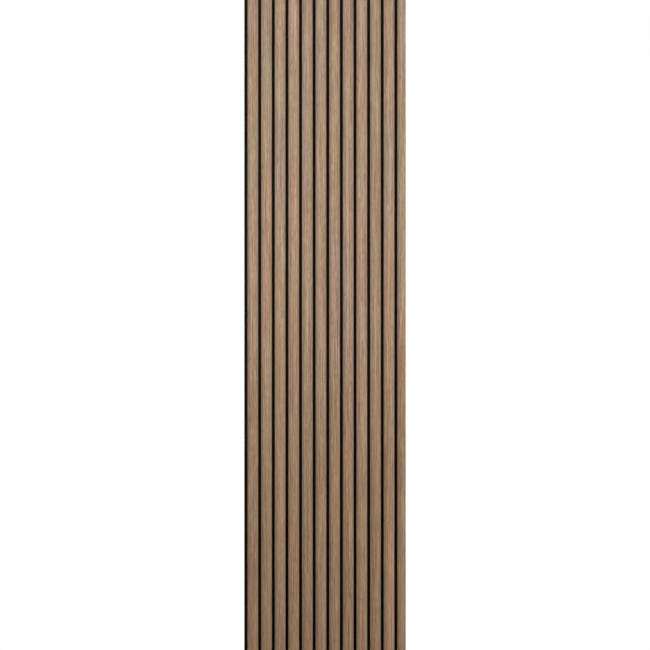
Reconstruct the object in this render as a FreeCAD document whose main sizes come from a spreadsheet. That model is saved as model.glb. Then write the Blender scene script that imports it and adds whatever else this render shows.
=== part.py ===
import FreeCAD, Part
import math
import os
import Sketcher

# Acoustic slat wall panel: upright slats with a crowned face, stapled to a sheet of black felt.
# The origin is the centre of the felt's back, which lies on the wall. The slats run along Z,
# the room is at -Y, and the bare strip of felt that the next panel closes up to is at -X.

doc = FreeCAD.newDocument("AcousticSlatPanel")
sizes = doc.addObject("Spreadsheet::Sheet", "Sizes")

# Driving dimensions in millimetres, with the counts of slats and of staples along each slat.
DIMENSIONS = [
    ("panel_length", 2440),
    ("felt_thickness", 9),
    ("felt_lip", 12),
    ("slat_count", 12),
    ("slat_width", 40),
    ("slat_gap", 10.6),
    ("slat_thickness", 12),
    ("crown_rise", 6),
    ("arris_radius", 1.2),
    ("veneer_thickness", 0.6),
    ("edge_trim", 8.6),
    ("saw_margin", 2),
    ("staple_rows", 7),
    ("staple_end_distance", 60),
    ("staple_crown", 12.8),
    ("staple_wire_width", 0.95),
    ("staple_wire_thickness", 0.65),
    ("staple_point", 1),
    ("staple_sink", 0.4),
    ("staple_bite", 6.5),
]
for row, (alias, value) in enumerate(DIMENSIONS, start=1):
    sizes.set("A%d" % row, alias)
    sizes.set("B%d" % row, str(value))
    sizes.setAlias("B%d" % row, alias)
doc.recompute()

# Sizes that follow from the driving ones.
SLAT_PITCH = "(Sizes.slat_width + Sizes.slat_gap)"
PANEL_WIDTH = ("(Sizes.felt_lip + (Sizes.slat_count - 1) * %s + Sizes.slat_width - Sizes.edge_trim)"
               % SLAT_PITCH)
FIRST_SLAT_X = "(Sizes.felt_lip + Sizes.slat_width / 2 - %s / 2)" % PANEL_WIDTH
CROWN_RADIUS = "(((Sizes.slat_width / 2) ^ 2 + Sizes.crown_rise ^ 2) / (2 * Sizes.crown_rise))"
FIRST_STAPLE_Z = "(Sizes.staple_end_distance - Sizes.panel_length / 2)"
STAPLE_SPACING = ("((Sizes.panel_length - 2 * Sizes.staple_end_distance) / (Sizes.staple_rows - 1))")

# The sketcher's own names for the origin, the two axes and the points of a line or an arc.
ORIGIN = -1
X_AXIS = -1
Y_AXIS = -2
START = 1
END = 2
CENTRE = 3

# Share by which the copies of a cut may differ from the first one in volume.
CUT_TOLERANCE = 0.01


def size(alias):
    """Value of one driving dimension."""
    return sizes.get(alias)


def origin_feature(body, role):
    """One of the body's own origin planes or axes."""
    return [feature for feature in body.Origin.OriginFeatures if feature.Role == role][0]


def add_body(name):
    """An empty body whose label is the name of the piece."""
    body = doc.addObject("PartDesign::Body", name)
    body.Label = name
    return body


def add_sketch(body, name, plane):
    """A sketch on one of the body's origin planes."""
    sketch = body.newObject("Sketcher::SketchObject", name)
    sketch.AttachmentSupport = [(origin_feature(body, plane), "")]
    sketch.MapMode = "FlatFace"
    return sketch


def add_line(sketch, start, end):
    """A line between two points given as (x, y)."""
    return sketch.addGeometry(Part.LineSegment(FreeCAD.Vector(*start, 0), FreeCAD.Vector(*end, 0)))


def add_arc(sketch, centre, radius, start_angle, end_angle):
    """An arc that runs anticlockwise between two angles."""
    circle = Part.Circle(FreeCAD.Vector(*centre, 0), FreeCAD.Vector(0, 0, 1), radius)
    return sketch.addGeometry(Part.ArcOfCircle(circle, start_angle, end_angle))


def constrain(sketch, kind, *references):
    """A constraint that has no size."""
    sketch.addConstraint(Sketcher.Constraint(kind, *references))


def dimension(sketch, name, formula, kind, *references):
    """A constraint whose size follows a formula of the sheet's cells."""
    index = sketch.addConstraint(Sketcher.Constraint(kind, *references))
    sketch.renameConstraint(index, name)
    sketch.setExpression("Constraints." + name, formula)


def add_polygon(sketch, points):
    """A closed outline of lines through the points, joined end to end."""
    lines = []
    for index, point in enumerate(points):
        lines.append(add_line(sketch, point, points[(index + 1) % len(points)]))
    for index, line in enumerate(lines):
        constrain(sketch, "Coincident", line, END, lines[(index + 1) % len(lines)], START)
    return lines


def add_rectangle(sketch, left, right, low, high):
    """A rectangle: its bottom, right, top and left lines in that order."""
    lines = add_polygon(sketch, [(left, low), (right, low), (right, high), (left, high)])
    for level in (lines[0], lines[2]):
        constrain(sketch, "Horizontal", level)
    for upright in (lines[1], lines[3]):
        constrain(sketch, "Vertical", upright)
    return lines


def add_pad(body, name, sketch, length_formula):
    """The sketch's outline pushed out to both sides of its plane by half the length."""
    pad = body.newObject("PartDesign::Pad", name)
    pad.Profile = sketch
    pad.Midplane = True
    pad.setExpression("Length", length_formula)
    body.Tip = pad
    return pad


def add_pocket(body, name, sketch, length_formula):
    """The sketch's outline cut out of the body to both sides of its plane by half the length."""
    pocket = body.newObject("PartDesign::Pocket", name)
    pocket.Profile = sketch
    pocket.Midplane = True
    pocket.setExpression("Length", length_formula)
    body.Tip = pocket
    return pocket


def add_arch(sketch, name, inset):
    """One slat outline without its back: a side, an arris, the crown, an arris and a side.

    The inset is the sheet cell by which the outline lies inside the slat's outer faces, or nothing.
    """
    depth_in = size(inset) if inset else 0
    less_inset = " - Sizes.%s" % inset if inset else ""
    half = size("slat_width") / 2 - depth_in
    depth = size("slat_thickness") - depth_in
    rise = size("crown_rise")
    crown = ((size("slat_width") / 2) ** 2 + rise ** 2) / (2 * rise) - depth_in
    arris = size("arris_radius") - depth_in
    crown_y = crown - depth
    arris_y = crown_y - math.sqrt((crown - arris) ** 2 - (half - arris) ** 2)
    touch = math.atan2(arris_y - crown_y, half - arris)
    far_touch = -math.pi - touch

    right_side = add_line(sketch, (half, 0), (half, arris_y))
    right_arris = add_arc(sketch, (half - arris, arris_y), arris, touch, 0)
    face = add_arc(sketch, (0, crown_y), crown, far_touch, touch)
    left_arris = add_arc(sketch, (arris - half, arris_y), arris, -math.pi, far_touch)
    left_side = add_line(sketch, (-half, arris_y), (-half, 0))

    constrain(sketch, "Tangent", right_side, END, right_arris, END)
    constrain(sketch, "Tangent", right_arris, START, face, END)
    constrain(sketch, "Tangent", face, START, left_arris, END)
    constrain(sketch, "Tangent", left_arris, START, left_side, START)
    constrain(sketch, "Vertical", right_side)
    constrain(sketch, "Vertical", left_side)
    constrain(sketch, "PointOnObject", right_side, START, X_AXIS)
    constrain(sketch, "Symmetric", right_side, START, left_side, END, ORIGIN, START)
    constrain(sketch, "PointOnObject", face, CENTRE, Y_AXIS)
    constrain(sketch, "Equal", right_arris, left_arris)
    dimension(sketch, name + "_width", "Sizes.slat_width" + 2 * less_inset,
              "DistanceX", left_side, END, right_side, START, 2 * half)
    dimension(sketch, name + "_crown", CROWN_RADIUS + less_inset, "Radius", face, crown)
    dimension(sketch, name + "_arris", "Sizes.arris_radius" + less_inset, "Radius", right_arris, arris)
    dimension(sketch, name + "_crown_centre", CROWN_RADIUS + " - Sizes.slat_thickness",
              "DistanceY", ORIGIN, START, face, CENTRE, crown_y)
    return right_side, left_side


def place_on_felt(body, number):
    """Stand the slat's body on the felt's front at its place in the row."""
    body.setExpression("Placement.Base.x", "%s + %d * %s" % (FIRST_SLAT_X, number - 1, SLAT_PITCH))
    body.setExpression("Placement.Base.y", "-Sizes.felt_thickness")


def check_cut(whole, cut, copies=1, single=None):
    """Stop where a cut took nothing off, or where its copies took less than they should."""
    taken = whole.Shape.Volume - cut.Shape.Volume
    expected = copies * (whole.Shape.Volume - single.Shape.Volume) if single else 0
    if taken <= 0 or taken < expected * (1 - CUT_TOLERANCE):
        raise RuntimeError("%s took too little off %s" % (cut.Label, whole.Label))


def saw_off_edge(body):
    """Trim the last slat to the panel's width, as the saw that trims the panel does."""
    whole = body.Tip
    left = size("slat_width") / 2 - size("edge_trim")
    right = size("slat_width") / 2 + size("saw_margin")
    low = -size("slat_thickness") - size("saw_margin")
    sketch = add_sketch(body, body.Label + "_saw_cut", "XY_Plane")
    lines = add_rectangle(sketch, left, right, low, size("saw_margin"))
    dimension(sketch, "cut_left", "Sizes.slat_width / 2 - Sizes.edge_trim",
              "DistanceX", ORIGIN, START, lines[0], START, left)
    dimension(sketch, "cut_right", "Sizes.slat_width / 2 + Sizes.saw_margin",
              "DistanceX", ORIGIN, START, lines[0], END, right)
    dimension(sketch, "cut_depth", "Sizes.slat_thickness + Sizes.saw_margin",
              "DistanceY", lines[0], START, ORIGIN, START, -low)
    dimension(sketch, "cut_back", "Sizes.saw_margin",
              "DistanceY", ORIGIN, START, lines[2], START, size("saw_margin"))
    pocket = add_pocket(body, body.Label + "_trim", sketch,
                        "Sizes.panel_length + 2 * Sizes.saw_margin")
    doc.recompute()
    check_cut(whole, pocket)


def add_staple_outline(body, back, back_formula):
    """The outline of one staple seen from the side: its crown in the felt's back and both legs.

    The back is how far the crown's back lies from the felt's back, towards the wall.
    """
    sketch = add_sketch(body, body.Label + "_staple_outline", "YZ_Plane")
    half = size("staple_crown") / 2
    wire = size("staple_wire_thickness")
    inner_half = half - wire
    under_crown = -size("staple_sink") - wire
    tip = -size("felt_thickness") - size("staple_bite")
    shoulder = tip + size("staple_point")
    lines = add_polygon(sketch, [
        (back, -half), (tip, -half), (shoulder, -inner_half), (under_crown, -inner_half),
        (under_crown, inner_half), (shoulder, inner_half), (tip, half), (back, half),
    ])
    constrain(sketch, "Horizontal", lines[0])
    constrain(sketch, "Horizontal", lines[2])
    for low, high in ((0, 7), (1, 6), (2, 5), (3, 4)):
        constrain(sketch, "Symmetric", lines[low], START, lines[high], START, X_AXIS)
    dimension(sketch, "crown", "Sizes.staple_crown",
              "DistanceY", lines[0], START, lines[7], START, 2 * half)
    dimension(sketch, "back", back_formula, "DistanceX", ORIGIN, START, lines[0], START, back)
    dimension(sketch, "reach", "Sizes.felt_thickness + Sizes.staple_bite",
              "DistanceX", lines[1], START, ORIGIN, START, -tip)
    dimension(sketch, "point", "Sizes.staple_point",
              "DistanceX", lines[1], START, lines[1], END, shoulder - tip)
    dimension(sketch, "leg", "Sizes.staple_wire_thickness",
              "DistanceY", lines[1], START, lines[1], END, wire)
    dimension(sketch, "under_crown", "Sizes.staple_sink + Sizes.staple_wire_thickness",
              "DistanceX", lines[3], START, ORIGIN, START, -under_crown)
    return sketch


def add_pattern(body, name, axis, spacing_formula, count_formula):
    """A row of copies at even spacing along one of the body's own axes."""
    pattern = body.newObject("PartDesign::LinearPattern", name)
    pattern.Direction = (origin_feature(body, axis), [""])
    pattern.Mode = "Spacing"
    pattern.setExpression("Offset", spacing_formula)
    pattern.setExpression("Occurrences", count_formula)
    return pattern


def repeat_staples(body, feature):
    """Copies of the first staple, or of its slot, along each slat and from slat to slat."""
    rows = body.newObject("PartDesign::MultiTransform", body.Label + "_rows")
    rows.Originals = [feature]
    across = add_pattern(body, body.Label + "_across", "X_Axis", SLAT_PITCH, "Sizes.slat_count")
    along = add_pattern(body, body.Label + "_along", "Z_Axis", STAPLE_SPACING, "Sizes.staple_rows")
    rows.Transformations = [across, along]
    body.Tip = rows
    return rows


def add_slat_core(number):
    """The slat's fibreboard core, moulded to the crowned section, with slots for its staples."""
    body = add_body("slat_%02d_core" % number)
    sketch = add_sketch(body, body.Label + "_section", "XY_Plane")
    right_side, left_side = add_arch(sketch, "core", "veneer_thickness")
    half = size("slat_width") / 2 - size("veneer_thickness")
    back = add_line(sketch, (-half, 0), (half, 0))
    constrain(sketch, "Coincident", left_side, END, back, START)
    constrain(sketch, "Coincident", back, END, right_side, START)
    board = add_pad(body, body.Label + "_length", sketch, "Sizes.panel_length")

    outline = add_staple_outline(body, size("saw_margin"), "Sizes.saw_margin")
    outline.setExpression("AttachmentOffset.Base.x", "Sizes.felt_thickness")
    outline.setExpression("AttachmentOffset.Base.y", FIRST_STAPLE_Z)
    slot = add_pocket(body, body.Label + "_slot", outline, "Sizes.staple_wire_width")
    slots = add_pattern(body, body.Label + "_slots", "Z_Axis", STAPLE_SPACING, "Sizes.staple_rows")
    slots.Originals = [slot]
    body.Tip = slots
    doc.recompute()
    check_cut(board, slots, size("staple_rows"), slot)
    place_on_felt(body, number)
    return body


def add_slat_veneer(number):
    """The wood veneer wrapped over the core's face and both of its sides."""
    body = add_body("slat_%02d_veneer" % number)
    sketch = add_sketch(body, body.Label + "_section", "XY_Plane")
    outer_right, outer_left = add_arch(sketch, "outer", None)
    inner_right, inner_left = add_arch(sketch, "inner", "veneer_thickness")
    outer = size("slat_width") / 2
    inner = outer - size("veneer_thickness")
    right_edge = add_line(sketch, (inner, 0), (outer, 0))
    constrain(sketch, "Coincident", inner_right, START, right_edge, START)
    constrain(sketch, "Coincident", right_edge, END, outer_right, START)
    left_edge = add_line(sketch, (-outer, 0), (-inner, 0))
    constrain(sketch, "Coincident", outer_left, END, left_edge, START)
    constrain(sketch, "Coincident", left_edge, END, inner_left, END)
    add_pad(body, body.Label + "_length", sketch, "Sizes.panel_length")
    place_on_felt(body, number)
    return body


def add_felt():
    """The sheet of pressed polyester felt that carries the slats, slotted for the staples."""
    body = add_body("felt_backing")
    sketch = add_sketch(body, "felt_section", "XY_Plane")
    width = (size("felt_lip") + size("slat_count") * (size("slat_width") + size("slat_gap"))
             - size("slat_gap") - size("edge_trim"))
    lines = add_rectangle(sketch, -width / 2, width / 2, -size("felt_thickness"), 0)
    constrain(sketch, "Symmetric", lines[2], START, lines[2], END, ORIGIN, START)
    dimension(sketch, "felt_width", PANEL_WIDTH, "DistanceX", lines[0], START, lines[0], END, width)
    dimension(sketch, "felt_depth", "Sizes.felt_thickness",
              "DistanceY", lines[1], START, lines[1], END, size("felt_thickness"))
    sheet = add_pad(body, "felt_length", sketch, "Sizes.panel_length")

    outline = add_staple_outline(body, size("saw_margin"), "Sizes.saw_margin")
    outline.setExpression("AttachmentOffset.Base.y", FIRST_STAPLE_Z)
    outline.setExpression("AttachmentOffset.Base.z", FIRST_SLAT_X)
    slot = add_pocket(body, "felt_slot", outline, "Sizes.staple_wire_width")
    slots = repeat_staples(body, slot)
    doc.recompute()
    check_cut(sheet, slots, size("slat_count") * size("staple_rows"), slot)
    return body


def add_staples():
    """The flat-wire staples, driven from the back through the felt into the slats."""
    body = add_body("staples")
    body.AllowCompound = True
    outline = add_staple_outline(body, -size("staple_sink"), "-Sizes.staple_sink")
    wire = add_pad(body, "staple_wire", outline, "Sizes.staple_wire_width")
    repeat_staples(body, wire)
    body.setExpression("Placement.Base.x", FIRST_SLAT_X)
    body.setExpression("Placement.Base.z", FIRST_STAPLE_Z)
    return body


sub_parts = [add_felt(), add_staples()]
for number in range(1, int(size("slat_count")) + 1):
    core = add_slat_core(number)
    veneer = add_slat_veneer(number)
    if number == int(size("slat_count")):
        saw_off_edge(core)
        saw_off_edge(veneer)
    sub_parts.append(core)
    sub_parts.append(veneer)
doc.recompute()

for item in doc.Objects:
    if "Invalid" in item.State or "Error" in item.State:
        raise RuntimeError("%s did not build: %s" % (item.Label, item.State))
for sub_part in sub_parts:
    if sub_part.Shape.isNull() or not sub_part.Shape.isValid():
        raise RuntimeError("%s has no valid shape" % sub_part.Label)

os.makedirs("parts", exist_ok=True)
for sub_part in sub_parts:
    sub_part.Shape.exportStep("parts/%s.step" % sub_part.Label)
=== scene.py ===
"""Acoustic slat wall panel: veneered slats on black felt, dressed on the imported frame."""

import math

import bpy
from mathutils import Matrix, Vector


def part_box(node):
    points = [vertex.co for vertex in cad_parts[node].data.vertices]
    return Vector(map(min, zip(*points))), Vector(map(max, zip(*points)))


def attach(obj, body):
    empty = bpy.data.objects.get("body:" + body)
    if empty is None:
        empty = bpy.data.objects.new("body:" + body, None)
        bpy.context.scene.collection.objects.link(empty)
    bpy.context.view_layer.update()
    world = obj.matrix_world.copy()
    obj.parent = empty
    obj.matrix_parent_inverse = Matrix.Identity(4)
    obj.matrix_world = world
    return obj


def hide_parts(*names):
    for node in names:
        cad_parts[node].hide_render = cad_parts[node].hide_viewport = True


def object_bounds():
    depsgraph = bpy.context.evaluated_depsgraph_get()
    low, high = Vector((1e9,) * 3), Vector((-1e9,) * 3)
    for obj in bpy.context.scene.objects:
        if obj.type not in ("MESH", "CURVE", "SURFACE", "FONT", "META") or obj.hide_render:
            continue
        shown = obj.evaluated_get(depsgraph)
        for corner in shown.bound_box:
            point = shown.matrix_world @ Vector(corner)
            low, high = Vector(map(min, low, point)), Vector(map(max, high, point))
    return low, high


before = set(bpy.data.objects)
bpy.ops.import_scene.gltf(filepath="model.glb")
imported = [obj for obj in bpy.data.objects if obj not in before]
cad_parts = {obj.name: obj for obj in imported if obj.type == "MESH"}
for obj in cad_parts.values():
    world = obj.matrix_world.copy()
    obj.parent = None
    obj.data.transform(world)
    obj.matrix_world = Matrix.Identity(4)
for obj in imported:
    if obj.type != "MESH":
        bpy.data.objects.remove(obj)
cad_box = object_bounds()


# Felt backing. One 9 mm sheet of black polyester fibre, needle-punched and pressed to a stiff board,
# then knife-cut to the panel's size. The staples pull its back in around their crowns, and the cut
# edges stay a little soft.
MM = 0.001
EDGE_ROUND = 0.9 * MM
DIMPLE_DEPTH = 0.95 * MM
DIMPLE_REACH = 7 * MM
DIMPLE_RINGS = (0.6 * MM, 2 * MM, 4 * MM, 7 * MM)
FELT_CELL = 60 * MM
CELL_CLEARANCE = 3 * DIMPLE_REACH
TOUCH = 0.1 * MM
STAPLE_ROWS = 7
STAPLE_CROWN = 12.8 * MM
# The felt's colours, tinted warm brown as painted bounce light from the oak.
FELT_BLACK_WITH_BOUNCE_TINT = "17100B"
FELT_FIBRE_WITH_BOUNCE_TINT = "44352A"
CLOUD_SIZE = 24 * MM
PUNCH_SIZE = 2.2 * MM
PUNCH_SHARE = 0.8
FIBRE_SIZE = (0.45 * MM, 0.45 * MM, 7 * MM)
FIBRE_CURL = 12 * MM
FIBRE_TURNS = (0.2, 0.9, 1.7, 2.4)
# The noise values from which a fibre shows, and the cover of fibres in thin and in thick patches.
FIBRE_SHOWS = (0.6, 0.76)
FIBRE_COVER = (0.2, 0.8)
FELT_RELIEF = 0.5 * MM

felt_low, felt_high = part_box("felt_backing")
staple_low, staple_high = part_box("staples")
slats = sorted(name.removesuffix("_veneer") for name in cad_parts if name.endswith("_veneer"))
first_low, first_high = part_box(slats[0] + "_veneer")
second_low, second_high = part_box(slats[1] + "_veneer")
slat_pitch = second_low.x - first_low.x
wire_width = staple_high.x - staple_low.x - slat_pitch * (len(slats) - 1)
staple_spacing = (staple_high.z - staple_low.z - STAPLE_CROWN) / (STAPLE_ROWS - 1)
staple_columns = [staple_low.x + wire_width / 2 + slat_pitch * n for n in range(len(slats))]
staple_rows = [staple_low.z + STAPLE_CROWN / 2 + staple_spacing * n for n in range(STAPLE_ROWS)]


def start_piece():
    """Leave edit mode and deselect everything, so that an operator acts on the new piece only."""
    if bpy.context.object and bpy.context.object.mode == "EDIT":
        bpy.ops.object.mode_set(mode="OBJECT")
    bpy.ops.object.select_all(action="DESELECT")


def cut_across(places, axis):
    """Cut the whole mesh by planes square to one axis."""
    normal = [0, 0, 0]
    normal[axis] = 1
    for place in places:
        point = [0, 0, 0]
        point[axis] = place
        bpy.ops.mesh.select_all(action="SELECT")
        bpy.ops.mesh.bisect(plane_co=point, plane_no=normal)


def select_vertices(chosen):
    """Select the vertices for which the test on their place is true."""
    bpy.ops.object.mode_set(mode="OBJECT")
    mesh = bpy.context.object.data
    for part in (*mesh.edges, *mesh.polygons):
        part.select = False
    for vertex in mesh.vertices:
        vertex.select = chosen(vertex.co)
    bpy.ops.object.mode_set(mode="EDIT")
    bpy.ops.mesh.select_mode(type="VERT")


def under_a_crown(point):
    """Is the point on the felt's back, under a staple's crown?"""
    aside = min(abs(point.x - x) for x in staple_columns)
    above = min(abs(point.z - z) for z in staple_rows)
    nearest_ring = DIMPLE_RINGS[0] + TOUCH
    on_the_back = point.y > felt_high.y - TOUCH
    return on_the_back and aside < nearest_ring and above < STAPLE_CROWN / 2 + nearest_ring


start_piece()
bpy.ops.mesh.primitive_cube_add(size=1, location=(felt_low + felt_high) / 2)
felt = bpy.context.object
felt.name = "felt_board"
felt.scale = felt_high - felt_low
bpy.ops.object.transform_apply(location=True, rotation=True, scale=True)
bpy.ops.object.mode_set(mode="EDIT")
bpy.ops.mesh.select_all(action="SELECT")
bpy.ops.mesh.bevel(offset=EDGE_ROUND, segments=3)

# The sheet is cut into cells, which are fine around each staple, and the dimples are pulled in there.
ring_steps = [side * ring for ring in DIMPLE_RINGS for side in (-1, 1)]
column_cuts = [x + step for x in staple_columns for step in ring_steps]
row_cuts = [z + step + math.copysign(STAPLE_CROWN / 2, step) for z in staple_rows for step in ring_steps]
cells_up = int((felt_high.z - felt_low.z) / FELT_CELL)
cell_cuts = [felt_low.z + FELT_CELL * n for n in range(1, cells_up + 1)]
cell_cuts = [z for z in cell_cuts if min(abs(z - row) for row in staple_rows) > CELL_CLEARANCE]
cut_across(column_cuts, 0)
cut_across(row_cuts + staple_rows + cell_cuts, 2)
select_vertices(under_a_crown)
bpy.ops.transform.translate(value=(0, -DIMPLE_DEPTH, 0), use_proportional_edit=True,
                            proportional_edit_falloff="SMOOTH", proportional_size=DIMPLE_REACH)
bpy.ops.object.mode_set(mode="OBJECT")
bpy.ops.object.shade_smooth_by_angle(angle=math.radians(50))
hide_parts("felt_backing")
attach(felt, "root")


def linear(code):
    """An sRGB hex colour as linear red, green, blue and alpha."""
    parts = [int(code[i:i + 2], 16) / 255 for i in (0, 2, 4)]
    return [c / 12.92 if c <= 0.04045 else ((c + 0.055) / 1.055) ** 2.4 for c in parts] + [1]


def add_node(tree, kind, inputs=(), **settings):
    """Add a node with its settings, give its inputs their values or links, and return its outputs."""
    node = tree.nodes.new("ShaderNode" + kind)
    for name, value in settings.items():
        setattr(node, name, value)
    for name, value in inputs.items() if isinstance(inputs, dict) else enumerate(inputs):
        if isinstance(value, bpy.types.NodeSocket):
            tree.links.new(value, node.inputs[name])
        else:
            node.inputs[name].default_value = value
    return node.outputs


def new_material(name):
    """A material with an empty node tree, and the object coordinates that its patterns read."""
    material = bpy.data.materials.new(name)
    material.use_nodes = True
    material.node_tree.nodes.clear()
    return material, material.node_tree, add_node(material.node_tree, "TexCoord")["Object"]


def cover(piece, material):
    """Give the whole piece one material."""
    piece.data.materials.clear()
    piece.data.materials.append(material)


# A colour Mix node's sockets go by number: its factor, its two colours, and the mixed colour.
FACTOR, FIRST, SECOND, MIXED = 0, 6, 7, 2
# Almost all of a noise's values lie in this span.
NOISE_SPAN = (0.3, 0.7)

# Needle-punched felt: its fibres lie matted in all directions and scatter the light, so the sheet is
# almost black and has no gloss, with paler fibres on top in cloudy patches. The real fibres are
# 0.05 mm thick, and are drawn 0.45 mm thick to show. Its black and its fibres carry a warm brown
# tint, painted light that stands for the glow bounced off the oak into the gaps; the real felt is black.
felt_material, tree, place = new_material("needle_punched_black_felt")
cloud = add_node(tree, "TexNoise", {"Vector": place, "Scale": 1 / CLOUD_SIZE, "Detail": 3})["Fac"]
punch = add_node(tree, "TexNoise", {"Vector": place, "Scale": 1 / PUNCH_SIZE, "Detail": 1})["Fac"]
curl = add_node(tree, "TexNoise", {"Vector": place, "Scale": 1 / FIBRE_CURL, "Detail": 1})["Color"]
curled = add_node(tree, "VectorMath", (curl, [FIBRE_CURL / 2] * 3, place), operation="MULTIPLY_ADD")[0]
fibres = 0.0
for turn in FIBRE_TURNS:
    laid = add_node(tree, "Mapping", {"Vector": curled, "Rotation": (0, turn, 0), "Scale": FIBRE_SIZE},
                    vector_type="TEXTURE")[0]
    layer = add_node(tree, "TexNoise", {"Vector": laid, "Scale": 1, "Detail": 1})["Fac"]
    fibres = add_node(tree, "Math", (fibres, layer), operation="MAXIMUM")[0]
raised = add_node(tree, "MapRange", (fibres, *FIBRE_SHOWS, 0, 1), interpolation_type="SMOOTHSTEP")[0]
patchy = add_node(tree, "MapRange", (cloud, *NOISE_SPAN, *FIBRE_COVER), interpolation_type="SMOOTHSTEP")[0]
on_top = add_node(tree, "Math", (raised, patchy), operation="MULTIPLY")[0]
shade = add_node(tree, "Mix", {FACTOR: on_top, FIRST: linear(FELT_BLACK_WITH_BOUNCE_TINT), SECOND: linear(FELT_FIBRE_WITH_BOUNCE_TINT)},
                 data_type="RGBA")[MIXED]
relief = add_node(tree, "Math", (punch, PUNCH_SHARE, fibres), operation="MULTIPLY_ADD")[0]
bump = add_node(tree, "Bump", {"Height": relief, "Distance": FELT_RELIEF, "Strength": 0.9})[0]
surface = add_node(tree, "BsdfPrincipled", {
    "Base Color": shade, "Roughness": 0.95, "Specular IOR Level": 0.04, "Sheen Weight": 0.02,
    "Sheen Roughness": 0.6, "Normal": bump})[0]
add_node(tree, "OutputMaterial", {"Surface": surface})
cover(felt, felt_material)


# Slat cores. Medium-density fibreboard, moulded to the crowned section and sawn square. Bare board
# shows at both ends, and along the last slat's right side, where the panel was trimmed on the saw.
BOARD_PALE = "BC9A70"
BOARD_DARK = "8F6E49"
BOARD_CLOUD = "A4825A"
CLOUD_SHARE = 0.35
SAW_MARK_SHARE = 0.5
BOARD_RELIEF = 0.08 * MM
BOARD_PATTERNS = {
    # size along X, Y and Z in millimetres, detail, roughness
    "flakes": ((0.6, 0.35, 0.9), 4, 0.75),
    "cloud": ((9, 5, 14), 2, 0.5),
    "saw marks": ((30, 30, 1.4), 1, 0.5),
}

# Sawn fibreboard: fine pale and dark wood fibres pressed flat, with a clouded tone and the faint
# scores of the saw. It is matt, and a little rough to the touch.
board_material, tree, place = new_material("sawn_fibreboard")
board = {}
for name, (size, detail, roughness) in BOARD_PATTERNS.items():
    scaled = add_node(tree, "Mapping", {"Vector": place, "Scale": [side * MM for side in size]},
                      vector_type="TEXTURE")[0]
    board[name] = add_node(tree, "TexNoise", {
        "Vector": scaled, "Scale": 1, "Detail": detail, "Roughness": roughness})["Fac"]
dust = add_node(tree, "MapRange", (board["flakes"], *NOISE_SPAN, 0, 1), interpolation_type="SMOOTHSTEP")[0]
haze = add_node(tree, "MapRange", (board["cloud"], *NOISE_SPAN, 0, CLOUD_SHARE),
                interpolation_type="SMOOTHSTEP")[0]
shade = add_node(tree, "Mix", {FACTOR: dust, FIRST: linear(BOARD_DARK), SECOND: linear(BOARD_PALE)},
                 data_type="RGBA")[MIXED]
shade = add_node(tree, "Mix", {FACTOR: haze, FIRST: shade, SECOND: linear(BOARD_CLOUD)},
                 data_type="RGBA")[MIXED]
relief = add_node(tree, "Math", (board["saw marks"], SAW_MARK_SHARE, board["flakes"]),
                  operation="MULTIPLY_ADD")[0]
bump = add_node(tree, "Bump", {"Height": relief, "Distance": BOARD_RELIEF, "Strength": 0.7})[0]
surface = add_node(tree, "BsdfPrincipled", {
    "Base Color": shade, "Roughness": 0.85, "Specular IOR Level": 0.3, "Normal": bump})[0]
add_node(tree, "OutputMaterial", {"Surface": surface})
for slat in slats:
    cover(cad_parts[slat + "_core"], board_material)


# Slat veneers. A 0.6 mm leaf of straight-grained brown oak, wrapped over the crowned core and down
# both sides with its grain along the slat, brushed, stained and sealed with a satin lacquer.
OAK_PINK = "BC876F"
OAK_OLIVE = "A2977C"
OAK_HONEY = "B4945C"
OAK_GREY = "AC8F88"
OAK_DARK = "6F5340"
OAK_PALE = "D6BA9C"
# The colour of the painted shade towards the slat's edges.
OAK_PAINTED_EDGE_SHADE = "6B6156"
OAK_PORE = "4E392A"
OAK_RELIEF = 0.06 * MM
OAK_PATTERNS = {
    # size across the grain and along it in millimetres, detail, roughness, and how far the fibres
    # carry it along the grain, in parts of its size along
    "bands": (3.6, 700, 1, 0.5, 0),
    "rings": (2, 210, 2, 0.6, 2.5),
    "streaks": (2, 75, 2, 0.6, 2.5),
    "flecks": (2.3, 20, 1, 0.5, 2.5),
    "lines": (0.9, 45, 2, 0.5, 0),
    "pores": (0.42, 9, 1, 0.5, 0),
    "rose": (25, 480, 2, 0.6, 0.8),
    "gold": (20, 860, 1, 0.5, 1),
}
FIBRE_STRANDS = (0.6 * MM, 0.6 * MM, 260 * MM)
OAK_TINTS = (
    # pattern, the leaf's own number that shifts it, and the colours of its low and high values
    ("rose", "Red", OAK_OLIVE, OAK_PINK),
    ("gold", "Green", OAK_GREY, OAK_HONEY),
)
TINT_SPREAD = 0.13
OAK_TONES = (
    # pattern, how far from its middle value the tone starts and is full, and the most of it
    ("bands", 0, 0.16, 0.34),
    ("rings", 0, 0.16, 0.56),
    ("streaks", 0, 0.18, 0.5),
    ("flecks", 0.08, 0.2, 0.5),
)
# The middle value of a noise, and the values between which a line and a pore come in.
MIDDLE = 0.5
LINE_VALUES = (0.55, 0.3)
PORE_VALUES = (0.37, 0.3)
LINE_TONE = 0.35
LINE_RELIEF = 0.6
PORE_TONE = 0.6
PORE_ROWS = 0.3
OAK_ROUGHNESS = (0.62, 0.5)
LEAF_OFFSET = 9
LEAF_TINT = 0.03
LEAF_TONE = 0.055
WANDER_SIZE = (160 * MM, 160 * MM, 420 * MM)
WANDER_REACH = 9 * MM
KNOT_SQUARE = (75 * MM, 120 * MM, 1)
KNOT_CHANCE = (0.6, 1)
KNOT_TONE = 0.9
# Distances from a knot's centre, in parts of its square.
KNOT_RIM = 0.028
KNOT_HEART = 0.016
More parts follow.
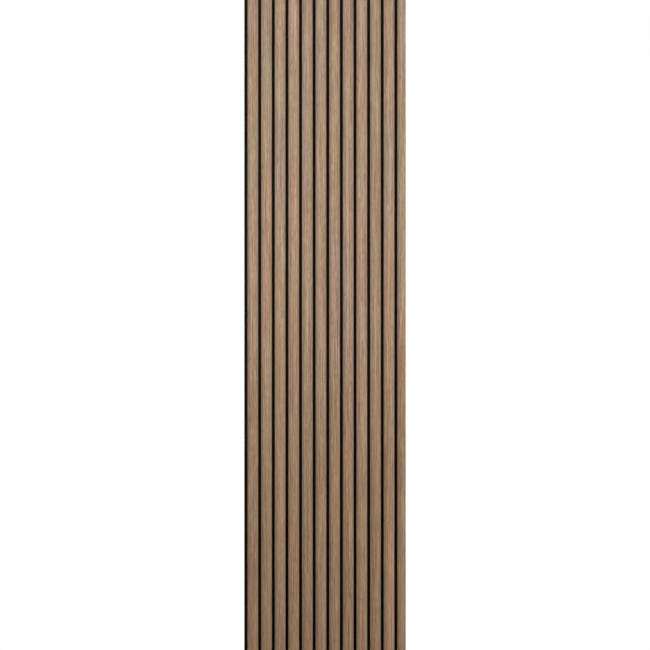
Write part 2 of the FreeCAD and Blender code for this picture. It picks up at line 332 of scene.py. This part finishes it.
# Distances from a slat's middle line at which the painted shade towards the edges and the painted shadow on
# the arris start and are full.
PAINTED_EDGE_SHADE_START = 4 * MM
PAINTED_EDGE_SHADE_END = 22 * MM
PAINTED_ARRIS_SHADOW_START = 18.3 * MM
PAINTED_ARRIS_SHADOW_END = 19.6 * MM
# The most of the painted edge shade and of the painted arris shadow.
PAINTED_EDGE_SHADE_MOST = 0.43
PAINTED_ARRIS_SHADOW_MOST = 0.5

# Each slat has a leaf of its own: its number gives it a place in the grain, a tint and a tone. The
# pitches are counted from the middle of the gap on a slat's left.
slat_middle = (first_low.x + first_high.x) / 2
oak_material, tree, place = new_material("satin_lacquered_brown_oak")
axes = add_node(tree, "SeparateXYZ", (place,))
pitches = add_node(tree, "Math", (axes["X"], 1 / slat_pitch, 0.5 - slat_middle / slat_pitch),
                   operation="MULTIPLY_ADD")[0]
slat_number = add_node(tree, "Math", (pitches,), operation="FLOOR")[0]
leaf = add_node(tree, "TexWhiteNoise", {"W": slat_number}, noise_dimensions="1D")
leaf_numbers = add_node(tree, "SeparateColor", (leaf["Color"],))
scaled = add_node(tree, "Mapping", {"Vector": place, "Scale": WANDER_SIZE}, vector_type="TEXTURE")[0]
wander = add_node(tree, "TexNoise", {"Vector": scaled, "Scale": 1, "Detail": 1})["Fac"]
wander = add_node(tree, "Math", (wander, WANDER_REACH, -WANDER_REACH / 2), operation="MULTIPLY_ADD")[0]
grain_x = add_node(tree, "Math", (axes["X"], wander), operation="ADD")[0]
grain_z = add_node(tree, "Math", (leaf["Value"], LEAF_OFFSET, axes["Z"]), operation="MULTIPLY_ADD")[0]
grain_place = add_node(tree, "CombineXYZ", (grain_x, axes["Y"], grain_z))[0]

# The figure, at its real size: growth rings cut along the grain and the bands that they gather in,
# streaks and ray flecks, fine lines and open pores. Fibres of uneven length feather their ends. The
# wood's own tint drifts slowly between olive and pink, and between grey and honey.
scaled = add_node(tree, "Mapping", {"Vector": grain_place, "Scale": FIBRE_STRANDS},
                  vector_type="TEXTURE")[0]
strands = add_node(tree, "TexNoise", {"Vector": scaled, "Scale": 1, "Detail": 1})["Color"]
oak = {}
for name, (across, along, detail, roughness, carried) in OAK_PATTERNS.items():
    size = (across * MM, across * MM, along * MM)
    scaled = add_node(tree, "Mapping", {"Vector": grain_place, "Scale": size}, vector_type="TEXTURE")[0]
    feathered = add_node(tree, "VectorMath", (strands, (0, 0, carried), scaled),
                         operation="MULTIPLY_ADD")[0]
    oak[name] = add_node(tree, "TexNoise", {
        "Vector": feathered, "Scale": 1, "Detail": detail, "Roughness": roughness})["Fac"]
tints = []
for name, leaf_number, low_colour, high_colour in OAK_TINTS:
    middle = add_node(tree, "Math", (leaf_numbers[leaf_number], -2 * LEAF_TINT, MIDDLE + LEAF_TINT),
                      operation="MULTIPLY_ADD")[0]
    warmth = add_node(tree, "Math", (oak[name], middle), operation="SUBTRACT")[0]
    warmth = add_node(tree, "MapRange", (warmth, -TINT_SPREAD, TINT_SPREAD, 0, 1),
                      interpolation_type="SMOOTHSTEP")[0]
    tints.append(add_node(tree, "Mix", {
        FACTOR: warmth, FIRST: linear(low_colour), SECOND: linear(high_colour)}, data_type="RGBA")[MIXED])
shade = add_node(tree, "Mix", {FACTOR: 0.5, FIRST: tints[0], SECOND: tints[1]}, data_type="RGBA")[MIXED]
for name, start, full, most in OAK_TONES:
    for side, colour in ((-1, OAK_DARK), (1, OAK_PALE)):
        tone = add_node(tree, "MapRange", (oak[name], MIDDLE + side * start, MIDDLE + side * full, 0, most),
                        interpolation_type="SMOOTHSTEP")[0]
        shade = add_node(tree, "Mix", {FACTOR: tone, FIRST: shade, SECOND: linear(colour)},
                         data_type="RGBA")[MIXED]
dark_line = add_node(tree, "MapRange", (oak["lines"], *LINE_VALUES, 0, LINE_TONE),
                     interpolation_type="SMOOTHSTEP")[0]
shade = add_node(tree, "Mix", {FACTOR: dark_line, FIRST: shade, SECOND: linear(OAK_DARK)},
                 data_type="RGBA")[MIXED]

# Pin knots: one in about every third square of the leaf, 3 to 4 mm across, longer along the grain and
# soft at the rim.
knot_place = add_node(tree, "Mapping", {
    "Vector": grain_place, "Rotation": (math.pi / 2, 0, 0), "Scale": KNOT_SQUARE},
    vector_type="TEXTURE")[0]
knots = add_node(tree, "TexVoronoi", {"Vector": knot_place, "Scale": 1}, voronoi_dimensions="2D")
chance = add_node(tree, "SeparateColor", (knots["Color"],))["Red"]
chance = add_node(tree, "MapRange", (chance, *KNOT_CHANCE, 0, KNOT_TONE),
                  interpolation_type="SMOOTHSTEP")[0]
rim = add_node(tree, "Math", (oak["lines"], KNOT_RIM, -KNOT_RIM / 2), operation="MULTIPLY_ADD")[0]
rim = add_node(tree, "Math", (knots["Distance"], rim), operation="ADD")[0]
rim = add_node(tree, "MapRange", (rim, KNOT_RIM, KNOT_HEART, 0, 1), interpolation_type="SMOOTHSTEP")[0]
knot = add_node(tree, "Math", (rim, chance), operation="MULTIPLY")[0]
shade = add_node(tree, "Mix", {FACTOR: knot, FIRST: shade, SECOND: linear(OAK_PORE)},
                 data_type="RGBA")[MIXED]

# Open pores are darkest, and lie in rows along the dark side of the rings.
in_rows = add_node(tree, "Math", (oak["rings"], PORE_ROWS, -PORE_ROWS / 2), operation="MULTIPLY_ADD")[0]
in_rows = add_node(tree, "Math", (oak["pores"], in_rows), operation="ADD")[0]
pore = add_node(tree, "MapRange", (in_rows, *PORE_VALUES, 0, PORE_TONE),
                interpolation_type="SMOOTHSTEP")[0]
shade = add_node(tree, "Mix", {FACTOR: pore, FIRST: shade, SECOND: linear(OAK_PORE)},
                 data_type="RGBA")[MIXED]

# Painted shade: the colour turns darker and greyer towards the wrapped edges, and painted shadow darkens it
# most on the arris.
across = add_node(tree, "Math", (pitches,), operation="FRACT")[0]
off_middle = add_node(tree, "Math", (across, slat_pitch, -slat_pitch / 2), operation="MULTIPLY_ADD")[0]
off_middle = add_node(tree, "Math", (off_middle,), operation="ABSOLUTE")[0]
painted_edge_shade = add_node(tree, "MapRange", (off_middle, PAINTED_EDGE_SHADE_START, PAINTED_EDGE_SHADE_END, 0, PAINTED_EDGE_SHADE_MOST),
                interpolation_type="SMOOTHSTEP")[0]
shade = add_node(tree, "Mix", {FACTOR: painted_edge_shade, FIRST: shade, SECOND: linear(OAK_PAINTED_EDGE_SHADE)},
                 data_type="RGBA")[MIXED]
# Painted shadow: the arris is darkened towards the pore colour, where shade falls into the gap.
painted_arris_shadow = add_node(tree, "MapRange", (off_middle, PAINTED_ARRIS_SHADOW_START, PAINTED_ARRIS_SHADOW_END, 0, PAINTED_ARRIS_SHADOW_MOST),
                 interpolation_type="SMOOTHSTEP")[0]
shade = add_node(tree, "Mix", {FACTOR: painted_arris_shadow, FIRST: shade, SECOND: linear(OAK_PORE)},
                 data_type="RGBA")[MIXED]
leaf_tone = add_node(tree, "MapRange", (leaf_numbers["Blue"], 0, 1, 1 - LEAF_TONE, 1 + LEAF_TONE),
                     interpolation_type="SMOOTHSTEP")[0]
shade = add_node(tree, "HueSaturation", {"Color": shade, "Value": leaf_tone})[0]

# Satin lacquer over brushed oak: a soft sheen, duller in the fine lines, with pores that dent it.
gloss = add_node(tree, "MapRange", (oak["lines"], *NOISE_SPAN, *OAK_ROUGHNESS),
                 interpolation_type="SMOOTHSTEP")[0]
relief = add_node(tree, "MapRange", (in_rows, *reversed(PORE_VALUES), 0, 1),
                  interpolation_type="SMOOTHSTEP")[0]
relief = add_node(tree, "Math", (oak["lines"], LINE_RELIEF, relief), operation="MULTIPLY_ADD")[0]
bump = add_node(tree, "Bump", {"Height": relief, "Distance": OAK_RELIEF, "Strength": 0.6})[0]
surface = add_node(tree, "BsdfPrincipled", {
    "Base Color": shade, "Roughness": gloss, "Specular IOR Level": 0.3, "Normal": bump})[0]
add_node(tree, "OutputMaterial", {"Surface": surface})
for slat in slats:
    cover(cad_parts[slat + "_veneer"], oak_material)


# Staples. Galvanised flat wire bent to a narrow U with rounded corners, driven from the back through
# the felt into the cores, so that only the crowns show, sunk in their dimples.
WIRE_THICKNESS = 0.65 * MM
BEND_RADIUS = 2 * WIRE_THICKNESS
BEND_STEPS = 5
QUARTER_TURN = math.pi / 2
SAME_POINT = 0.001 * MM
WIRE_ZINC = "B9BBBC"
WIRE_DULL = "8D8F90"
WIRE_SPOTS = (0.5 * MM, 0.5 * MM, 2.5 * MM)
WIRE_ROUGHNESS = (0.3, 0.45)

leg_x = staple_columns[0]
leg_z = staple_rows[0] - STAPLE_CROWN / 2 + WIRE_THICKNESS / 2
bend_y = staple_high.y - WIRE_THICKNESS / 2 - BEND_RADIUS
leg_length = bend_y - staple_low.y
crown_length = STAPLE_CROWN - WIRE_THICKNESS - 2 * BEND_RADIUS
first_bend = (leg_x, bend_y, leg_z + BEND_RADIUS)
second_bend = (leg_x, bend_y, leg_z + BEND_RADIUS + crown_length)

start_piece()
bpy.ops.mesh.primitive_plane_add(size=1, location=(leg_x, staple_low.y, leg_z),
                                 rotation=(QUARTER_TURN, 0, 0))
wire = bpy.context.object
wire.name = "staple_wires"
wire.scale = (wire_width, WIRE_THICKNESS, 1)
bpy.ops.object.transform_apply(location=True, rotation=True, scale=True)
bpy.ops.object.mode_set(mode="EDIT")
bpy.ops.mesh.select_all(action="SELECT")
bpy.ops.mesh.extrude_region_move(TRANSFORM_OT_translate={"value": (0, leg_length, 0)})
bpy.ops.mesh.spin(steps=BEND_STEPS, angle=-QUARTER_TURN, axis=(1, 0, 0), center=first_bend)
bpy.ops.mesh.extrude_region_move(TRANSFORM_OT_translate={"value": (0, 0, crown_length)})
bpy.ops.mesh.spin(steps=BEND_STEPS, angle=-QUARTER_TURN, axis=(1, 0, 0), center=second_bend)
bpy.ops.mesh.extrude_region_move(TRANSFORM_OT_translate={"value": (0, -leg_length, 0)})
bpy.ops.mesh.select_all(action="SELECT")
bpy.ops.mesh.remove_doubles(threshold=SAME_POINT)
bpy.ops.mesh.normals_make_consistent(inside=False)
bpy.ops.object.mode_set(mode="OBJECT")
for count, step in ((len(slats), (slat_pitch, 0, 0)), (STAPLE_ROWS, (0, 0, staple_spacing))):
    row = wire.modifiers.new("row", "ARRAY")
    row.count = count
    row.use_relative_offset = False
    row.use_constant_offset = True
    row.constant_offset_displace = step
    bpy.ops.object.modifier_apply(modifier=row.name)
bpy.ops.object.shade_smooth_by_angle(angle=math.radians(40))
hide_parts("staples")
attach(wire, "root")

# Zinc-coated steel wire: a dull grey metal, with spots of duller zinc drawn out along the crown.
zinc_material, tree, place = new_material("galvanised_wire")
scaled = add_node(tree, "Mapping", {"Vector": place, "Scale": WIRE_SPOTS}, vector_type="TEXTURE")[0]
spots = add_node(tree, "TexNoise", {"Vector": scaled, "Scale": 1, "Detail": 2})["Fac"]
shade = add_node(tree, "Mix", {FACTOR: spots, FIRST: linear(WIRE_ZINC), SECOND: linear(WIRE_DULL)},
                 data_type="RGBA")[MIXED]
dullness = add_node(tree, "MapRange", (spots, *NOISE_SPAN, *WIRE_ROUGHNESS),
                    interpolation_type="SMOOTHSTEP")[0]
surface = add_node(tree, "BsdfPrincipled", {"Base Color": shade, "Metallic": 1, "Roughness": dullness})[0]
add_node(tree, "OutputMaterial", {"Surface": surface})
cover(wire, zinc_material)


# Studio. The panel stands upright on a pale floor in front of white. Two broad warm lamps light it
# from both sides and leave the gaps dark, a cooler spot from slightly left lights all but the foot,
# and two weaker lamps reach the back and the top end.
PHOTO_HEIGHT = 2.415
SENSOR = 36
LENS = 800
FLOOR_SIZE = 14
FLOOR_PAINT = "F4F4F4"
SHADOW_START = 0.05
SHADOW_END = 0.5
ROOM_LIGHT = 0.15
WARM_WHITE = (1.14, 1.0, 0.84)
COOL_WHITE = (0.88, 1.0, 1.1)
WHITE = (1.0, 1.0, 1.0)

panel_middle = (cad_box[0] + cad_box[1]) / 2
half_width = (cad_box[1].x - cad_box[0].x) / 2


def sees_white(tree):
    """1 for the camera's rays, and for reflections and glass, which also see the white studio."""
    rays = add_node(tree, "LightPath")
    seen = add_node(tree, "Math", (rays["Is Camera Ray"], rays["Is Glossy Ray"]), operation="MAXIMUM")[0]
    return add_node(tree, "Math", (seen, rays["Is Transmission Ray"]), operation="MAXIMUM")[0]


def aim(thing, target):
    """Turn a lamp or the camera so that it looks at a point."""
    away_from = thing.location - target
    thing.rotation_euler = away_from.to_track_quat("Z", "Y").to_euler()


def add_lamp(name, kind, location, target_height, power, colour, **settings):
    """Add a studio lamp that is aimed at the panel, so far above or below its middle."""
    data = bpy.data.lights.new(name, kind)
    data.energy = power
    data.color = colour
    for key, value in settings.items():
        setattr(data, key, value)
    lamp = bpy.data.objects.new(name, data)
    bpy.context.scene.collection.objects.link(lamp)
    lamp.location = location
    lamp.visible_camera = False
    aim(lamp, panel_middle + Vector((0, 0, target_height)))


# The floor keeps the panel's shadow at its foot, and turns pure white away from it.
start_piece()
bpy.ops.mesh.primitive_plane_add(size=FLOOR_SIZE, location=(0, panel_middle.y, felt_low.z))
floor = bpy.context.object
floor.name = "floor"
floor_material, tree, place = new_material("pale_floor")
paint = add_node(tree, "BsdfDiffuse", {"Color": linear(FLOOR_PAINT)})[0]
white = add_node(tree, "Emission", {"Color": (1, 1, 1, 1), "Strength": 1})[0]
sides = add_node(tree, "SeparateXYZ", (place,))
beside = add_node(tree, "Math", (sides["X"],), operation="ABSOLUTE")[0]
beside = add_node(tree, "Math", (beside, half_width), operation="SUBTRACT")[0]
beside = add_node(tree, "Math", (beside, 0), operation="MAXIMUM")[0]
from_foot = add_node(tree, "CombineXYZ", (beside, sides["Y"]))[0]
away = add_node(tree, "VectorMath", (from_foot,), operation="LENGTH")["Value"]
fade = add_node(tree, "MapRange", (away, SHADOW_START, SHADOW_END, 0, 1), interpolation_type="SMOOTHSTEP")[0]
faded = add_node(tree, "Math", (sees_white(tree), fade), operation="MULTIPLY")[0]
surface = add_node(tree, "MixShader", (faded, paint, white))[0]
add_node(tree, "OutputMaterial", {"Surface": surface})
cover(floor, floor_material)

world = bpy.data.worlds.new("white_studio")
bpy.context.scene.world = world
world.use_nodes = True
tree = world.node_tree
tree.nodes.clear()
room = add_node(tree, "Background", {"Color": (1, 1, 1, 1), "Strength": ROOM_LIGHT})[0]
white = add_node(tree, "Background", {"Color": (1, 1, 1, 1), "Strength": 1})[0]
background = add_node(tree, "MixShader", (sees_white(tree), room, white))[0]
add_node(tree, "OutputWorld", {"Surface": background})

add_lamp("key_spot", "SPOT", location=(-1.3, -6, 1.3), target_height=1.3, power=592, colour=COOL_WHITE,
         spot_size=math.radians(36.3), spot_blend=0.71, shadow_soft_size=0.5)
add_lamp("right_lamp", "AREA", location=(3.9, -2.25, -0.5), target_height=-0.5, power=85,
         colour=WARM_WHITE, shape="RECTANGLE", size=1.2, size_y=1.4)
add_lamp("left_lamp", "AREA", location=(-4.33, -2.5, 0.7), target_height=0.2, power=59,
         colour=WARM_WHITE, shape="RECTANGLE", size=1.2, size_y=3)
add_lamp("back_lamp", "AREA", location=(1.5, 5, 0.8), target_height=0, power=150, colour=WHITE,
         shape="SQUARE", size=2)
add_lamp("top_lamp", "AREA", location=(0, -0.3, 4), target_height=0, power=50, colour=WHITE,
         shape="SQUARE", size=1.5)

# The camera stands far off, so that the panel shows as straight as in a catalogue picture.
camera_data = bpy.data.cameras.new("camera")
camera_data.lens = LENS
camera_data.sensor_width = SENSOR
camera_data.clip_end = 200
camera = bpy.data.objects.new("camera", camera_data)
bpy.context.scene.collection.objects.link(camera)
camera.location = (0, cad_box[0].y - PHOTO_HEIGHT * LENS / SENSOR, panel_middle.z)
aim(camera, panel_middle)
bpy.context.scene.camera = camera
bpy.context.scene.view_settings.view_transform = "Standard"
